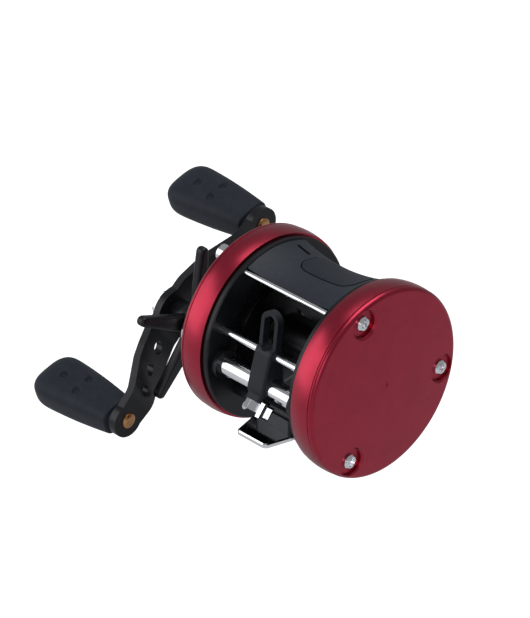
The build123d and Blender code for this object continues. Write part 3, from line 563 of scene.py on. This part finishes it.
WHITE_NYLON = Finish(
    "pale nylon",
    base=(0.72, 0.71, 0.66),
    shade=(0.66, 0.65, 0.60),
    metallic=0.0,
    roughness=0.45,
    grain=3200.0,
    grain_depth=0.010,
)
FIBRE = Finish(
    "pressed fibre",
    base=(0.06, 0.05, 0.045),
    shade=(0.10, 0.085, 0.07),
    metallic=0.0,
    roughness=0.8,
    grain=2200.0,
    grain_depth=0.05,
)
ALLOY = Finish(
    "turned alloy",
    base=(0.46, 0.46, 0.48),
    shade=(0.40, 0.40, 0.42),
    metallic=1.0,
    roughness=0.34,
    grain=3800.0,
    grain_depth=0.006,
    brushing=Brushing.SPUN,
    brush_depth=1.0,
)


class Workshop:
    """Holds the frame, the effects and one material for each finish."""

    def __init__(self, frame: dict) -> None:
        """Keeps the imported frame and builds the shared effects."""
        self.frame = frame
        self.effects = Effects()
        self._made: dict[str, bpy.types.Material] = {}

    def material(self, finish: Finish) -> bpy.types.Material:
        """The material of a finish, built the first time it is asked for."""
        if finish.name not in self._made:
            self._made[finish.name] = finish.material(self.effects)
        return self._made[finish.name]

    def dress(self, finish: Finish, *nodes: str) -> None:
        """Gives CAD nodes a finish and reports each one.

        Args:
            finish: the finish.
            nodes: the nodes' names.
        """
        for name in nodes:
            piece = self.frame["nodes"][name]
            for slot in piece.material_slots:
                slot.material = self.material(finish)
            LOG.info("dressed %s in %s", name, finish.name)

    def piece(
        self, name: str, mesh: bpy.types.Mesh, finish: Finish, body: str, slot: str
    ) -> bpy.types.Object:
        """Links a made mesh as a piece that rides on a body.

        Args:
            name: the piece's name.
            mesh: its mesh, in metres and in the frame's own axes.
            finish: its finish.
            body: the body it moves with.
            slot: the record's material slot that it belongs to; not used.

        Returns:
            The new object.
        """
        made = bpy.data.objects.new(name, mesh)
        bpy.context.scene.collection.objects.link(made)
        mesh.materials.append(self.material(finish))
        mesh.shade_smooth()
        mesh.set_sharp_from_angle(angle=math.radians(38.0))
        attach(made, body)
        LOG.info("made %s on %s", name, body)
        return made


def skinned(rings: Sequence[Sequence[Vector]], name: str) -> bpy.types.Mesh:
    """Joins rings of points into a closed skin, with the first and last rings filled.

    Args:
        rings: rings of equally many points, in order.
        name: the mesh's name.

    Returns:
        The mesh.
    """
    shell = bmesh.new()
    rows = [[shell.verts.new(point) for point in ring] for ring in rings]
    count = len(rows[0])
    for one, other in zip(rows, rows[1:]):
        for index in range(count):
            after = (index + 1) % count
            shell.faces.new((one[index], one[after], other[after], other[index]))
    shell.faces.new(rows[0])
    shell.faces.new(rows[-1])
    bmesh.ops.recalc_face_normals(shell, faces=shell.faces)
    mesh = bpy.data.meshes.new(name)
    shell.to_mesh(mesh)
    shell.free()
    return mesh


@dataclass
class KnobPair:
    """The two soft paddles of the handle, each with three dimples in its upper face.

    A share is a place along a paddle, from 0 at the neck to 1 at the outer end.
    """

    tilt: float = math.radians(17.0)
    half_wide: float = 8.1 * MM
    half_thick: float = 5.3 * MM
    squareness: float = 3.2
    neck_share: float = 0.68
    neck_thick: float = 0.80
    widest: float = 0.76
    thickest: float = 0.5
    taper_bend: float = 1.35
    end_wide: tuple[float, float] = (0.76, 3.0)
    end_thick: tuple[float, float] = (0.78, 2.2)
    end_blunt: float = 2.3
    end_least: float = 0.03
    collar: float = 0.045
    collar_step: float = 0.20
    collar_steep: float = 2.2
    dimple: float = 1.3 * MM
    dimple_deep: float = 1.25 * MM
    dimple_fall: float = 1.1
    dimples: tuple[tuple[float, float], ...] = ((0.70, 0.0), (0.46, 2.6 * MM), (0.46, -2.6 * MM))
    grips: tuple[tuple[str, str], ...] = (("knob_front", "front_grip"), ("knob_back", "back_grip"))
    slot: str = "soft_black"
    ring_points: int = 168
    rows: int = 150

    def half_width(self, share: float) -> float:
        """Half width of the paddle at a share of its length, as a share of the greatest."""
        rise = min(share / self.widest, 1.0)
        taper = self.neck_share + (1.0 - self.neck_share) * (1.0 - (1.0 - rise) ** self.taper_bend)
        return taper * self.end_round(share, *self.end_wide)

    def half_thickness(self, share: float) -> float:
        """Half thickness at a share of the length, as a share of the greatest."""
        rise = math.sin(min(share / self.thickest, 1.0) * math.pi / 2)
        swell = self.neck_thick + (1.0 - self.neck_thick) * rise
        return swell * self.end_round(share, *self.end_thick)

    def end_round(self, share: float, start: float, power: float) -> float:
        """The fall to the blunt outer end, and the step down to the collar at the neck.

        Args:
            share: the place along the paddle.
            start: the share where the end begins to fall.
            power: how late the fall comes.

        Returns:
            The share of the full size that is left.
        """
        outer = min(1.0, max(0.0, (share - start) / (1.0 - start)))
        fall = max(self.end_least, (1.0 - outer**power) ** (1.0 / self.end_blunt))
        step = max(0.0, 1.0 - share / self.collar)
        return fall * (1.0 - self.collar_step * min(1.0, self.collar_steep * step) ** 2)

    def outline(self, turn: float, wide: float, thick: float) -> tuple[float, float]:
        """A point of the squared oval section at an angle.

        Args:
            turn: the angle round the paddle's own axis.
            wide: half width of the section.
            thick: half thickness of the section.

        Returns:
            The place across the paddle and the height above its middle.
        """
        side, lift = math.cos(turn), math.sin(turn)
        power = self.squareness
        reach = (abs(side / wide) ** power + abs(lift / thick) ** power) ** (-1.0 / power)
        return side * reach, lift * reach

    def dress(self, shop: Workshop) -> None:
        """Makes both paddles in their soft finish."""
        for node, body in self.grips:
            shop.dress(SOFT, node)
            self.build(shop, node, body)

    def build(self, shop: Workshop, node: str, body: str) -> None:
        """Makes one paddle in the room of its CAD node.

        Args:
            shop: the workshop that dresses it.
            node: the CAD node it stands for.
            body: the body it turns with.
        """
        low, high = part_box(node)
        length = high.x - low.x
        centre = Vector((high.x, (low.y + high.y) / 2, (low.z + high.z) / 2))
        across = Vector((0.0, math.cos(self.tilt), math.sin(self.tilt)))
        above = Vector((0.0, -math.sin(self.tilt), math.cos(self.tilt)))
        rings = []
        for row in range(self.rows + 1):
            share = 0.5 - 0.5 * math.cos(math.pi * row / self.rows)
            wide = self.half_wide * self.half_width(share)
            thick = self.half_thick * self.half_thickness(share)
            ring = []
            for step in range(self.ring_points):
                turn = 2 * math.pi * step / self.ring_points
                out, rise = self.outline(turn, wide, thick)
                if rise > 0:
                    for spot, offset in self.dimples:
                        away = math.hypot((share - spot) * length, out - offset) / self.dimple
                        rise -= self.dimple_deep * math.exp(-self.dimple_fall * away**4)
                ring.append(centre - Vector((share * length, 0, 0)) + across * out + above * rise)
            rings.append(ring)
        made = shop.piece(node + "_grip", skinned(rings, node + "_skin"), SOFT, body, self.slot)
        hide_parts(node)


@dataclass
class Studio:
    """Floor, lights and the camera."""

    distance: float = 0.96
    lens: float = 204.6
    right_shift: float = 14.41 * MM
    up_shift: float = 10.88 * MM
    azimuth: float = math.radians(45.0)
    elevation: float = math.radians(30.7)
    floor_drop: float = 30 * MM
    floor_size: float = 8.0
    floor_glow: float = 0.72

    def axes(self) -> tuple[Vector, Vector, Vector]:
        """The camera's right, up and backward directions."""
        a, e = self.azimuth, self.elevation
        right = Vector((math.cos(a), math.sin(a), 0))
        up = Vector((-math.sin(e) * math.sin(a), math.sin(e) * math.cos(a), math.cos(e)))
        return right, up, right.cross(up)

    def camera(self) -> None:
        """Makes the scene's camera at the viewing angle."""
        right, up, back = self.axes()
        centre = Vector((0, 0, AXIS_HEIGHT))
        data = bpy.data.cameras.new("camera")
        data.lens = self.lens
        data.clip_end = 20.0
        made = bpy.data.objects.new("camera", data)
        made.location = centre + back * self.distance
        aim = centre - right * self.right_shift + up * self.up_shift
        made.rotation_mode = "QUATERNION"
        made.rotation_quaternion = (aim - made.location).to_track_quat("-Z", "Y")
        bpy.context.scene.collection.objects.link(made)
        bpy.context.scene.camera = made

    def lamp(
        self, name: str, place: Sequence[float], size: float, power: float, tint: Sequence[float]
    ) -> None:
        """Adds a square area light that faces the reel.

        Args:
            name: the light's name.
            place: where it stands, in metres.
            size: its side, in metres.
            power: its power, in watts.
            tint: its colour.
        """
        data = bpy.data.lights.new(name, "AREA")
        data.size = size
        data.energy = power
        data.color = tint
        made = bpy.data.objects.new(name, data)
        made.location = place
        made.rotation_mode = "QUATERNION"
        made.rotation_quaternion = (-Vector(place)).to_track_quat("-Z", "Y")
        bpy.context.scene.collection.objects.link(made)

    def light(self) -> None:
        """Lights the reel with soft boxes and a pale room."""
        self.lamp("side box", (-0.36, -0.42, 0.20), 0.50, 1.3, (1.0, 0.99, 0.98))
        self.lamp("top box", (0.04, 0.12, 0.62), 0.50, 1.9, (1.0, 1.0, 1.0))
        self.lamp("front box", (0.50, -0.62, 0.28), 0.35, 0.9, (0.97, 0.98, 1.0))
        world = bpy.data.worlds.new("room")
        bpy.context.scene.world = world
        world.use_nodes = True
        graph = Graph(world.node_tree)
        room = world.node_tree.nodes["Background"]
        seen = graph.node("LightPath").outputs["Is Camera Ray"]
        graph.plug(room.inputs["Strength"], graph.ramp(seen, 0.0, 1.0, 0.30, 1.0))
        room.inputs["Color"].default_value = colour(0.97, 0.98, 1.0)
        bpy.context.scene.view_settings.view_transform = "Standard"

    def floor(self) -> None:
        """Lays a plain pale floor below the reel, which looks as bright as the room behind it."""
        low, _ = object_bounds()
        bpy.ops.mesh.primitive_plane_add(size=self.floor_size, location=(0, 0, low.z - self.floor_drop))
        made = bpy.context.object
        made.name = "floor"
        surface = bpy.data.materials.new("floor")
        surface.use_nodes = True
        graph = Graph(surface.node_tree)
        shader = surface.node_tree.nodes["Principled BSDF"]
        shader.inputs["Base Color"].default_value = colour(0.70, 0.70, 0.71)
        shader.inputs["Roughness"].default_value = 0.8
        shader.inputs["Specular IOR Level"].default_value = 0.0
        shader.inputs["Emission Color"].default_value = colour(1.0, 1.0, 1.0)
        seen = graph.node("LightPath").outputs["Is Camera Ray"]
        graph.plug(shader.inputs["Emission Strength"], graph.math("MULTIPLY", seen, self.floor_glow))
        made.data.materials.append(surface)
        made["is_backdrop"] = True


@dataclass
class SideCups:
    """The two red cups with their screws."""

    cups: tuple[str, ...] = ("near_cup", "far_cup")
    screws: tuple[str, ...] = ("cup_screws", "thumb_screws")

    def dress(self, shop: Workshop) -> None:
        """Red anodised cups held by plated screws."""
        shop.dress(RED, *self.cups)
        shop.dress(CHROME, *self.screws)


@dataclass
class FrameCage:
    """The flanges, the pillars between them, the front bar and the foot."""

    black: tuple[str, ...] = ("near_flange", "far_flange", "pillars", "foot_pads")
    plated: tuple[str, ...] = ("foot", "foot_rivets", "front_bar")

    def dress(self, shop: Workshop) -> None:
        """Black flanges and pillars with a plated bar and foot."""
        shop.dress(BLACK, *self.black)
        shop.dress(CHROME, *self.plated)


@dataclass
class TopCover:
    """The painted saddle over the spool and the thumb rest let into it."""

    cover: str = "top_cover"
    pad: str = "thumb_pad"

    def dress(self, shop: Workshop) -> None:
        """Painted cover and soft thumb rest."""
        shop.dress(PAINT, self.cover)
        shop.dress(SOFT, self.pad)


@dataclass
class LevelWind:
    """The line guide, its tube and rod, the worm inside and the gears that turn it."""

    guide: str = "line_guide"
    collars: str = "tube_collars"
    plated: tuple[str, ...] = ("levelwind_tube", "guide_rod", "pawl_cap", "guide_clip")
    steel: tuple[str, ...] = ("idler_pin", "worm_shaft")
    brass: tuple[str, ...] = ("levelwind_cog", "worm_gear", "pawl")
    moulded: tuple[str, ...] = ("idler_gear", "worm_bushes")

    def dress(self, shop: Workshop) -> None:
        """Moulded guide on plated rods, with brass and nylon gears inside."""
        shop.dress(NYLON, self.guide)
        shop.dress(BLACK, self.collars)
        shop.dress(CHROME, *self.plated)
        shop.dress(STEEL, *self.steel)
        shop.dress(BRASS, *self.brass)
        shop.dress(WHITE_NYLON, *self.moulded)


@dataclass
class SpoolSet:
    """The spool on its spindle, its bearings, the brake and the tension cap."""

    spool: str = "spool"
    cap: str = "tension_cap"
    steel: tuple[str, ...] = ("spindle", "clutch_pin", "near_bearing", "far_bearing")
    moulded: tuple[str, ...] = ("tension_shim", "brake_blocks")
    turned: tuple[str, ...] = ("brake_plate", "brake_hub")
    ring: str = "brake_ring"

    def dress(self, shop: Workshop) -> None:
        """Black spool between steel bearings, with the brake on its near end."""
        shop.dress(SPOOL, self.spool)
        shop.dress(CHROME, self.cap)
        shop.dress(STEEL, *self.steel)
        shop.dress(WHITE_NYLON, *self.moulded)
        shop.dress(ALLOY, *self.turned)
        shop.dress(BRASS, self.ring)


@dataclass
class DriveTrain:
    """The drive shaft with its gears, drag washers, clutch and thumb release."""

    steel: tuple[str, ...] = (
        "drive_shaft", "shaft_bush", "one_way_bearing", "yoke_posts",
        "yoke_springs", "spring_washers", "pressure_plate", "clutch_slide",
    )
    brass: tuple[str, ...] = ("main_gear", "pinion")
    plate: str = "gear_plate"
    yoke: str = "yoke"
    washer: str = "drag_washer"
    release: str = "thumb_bar"

    def dress(self, shop: Workshop) -> None:
        """Steel and brass inside the far cup, and the black thumb bar."""
        shop.dress(STEEL, *self.steel)
        shop.dress(BRASS, *self.brass)
        shop.dress(ALLOY, self.plate)
        shop.dress(WHITE_NYLON, self.yoke)
        shop.dress(FIBRE, self.washer)
        shop.dress(BLACK, self.release)


@dataclass
class HandleSet:
    """The drilled arm, the star drag behind it, the sleeve and the nut."""

    black: tuple[str, ...] = ("handle_arm", "star_drag", "handle_spacer")
    plated: tuple[str, ...] = ("shaft_sleeve", "handle_nut", "nut_keeper")
    rivets: str = "knob_rivets"
    knobs: KnobPair = field(default_factory=KnobPair)

    def dress(self, shop: Workshop) -> None:
        """Black arm and star with plated fittings, copper rivets and two soft knobs."""
        shop.dress(BLACK, *self.black)
        shop.dress(CHROME, *self.plated)
        shop.dress(COPPER, self.rivets)
        self.knobs.dress(shop)


def main() -> None:
    """Builds the studio, dresses the frame and adds the detailed pieces."""
    logging.basicConfig(level=logging.INFO, format="%(name)s: %(message)s")
    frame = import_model()
    studio = Studio()
    studio.camera()
    shop = Workshop(frame)
    parts = (SideCups(), FrameCage(), TopCover(), LevelWind(), SpoolSet(), DriveTrain(), HandleSet())
    for part in parts:
        part.dress(shop)
    studio.light()
    studio.floor()


if __name__ == "__main__":
    main()
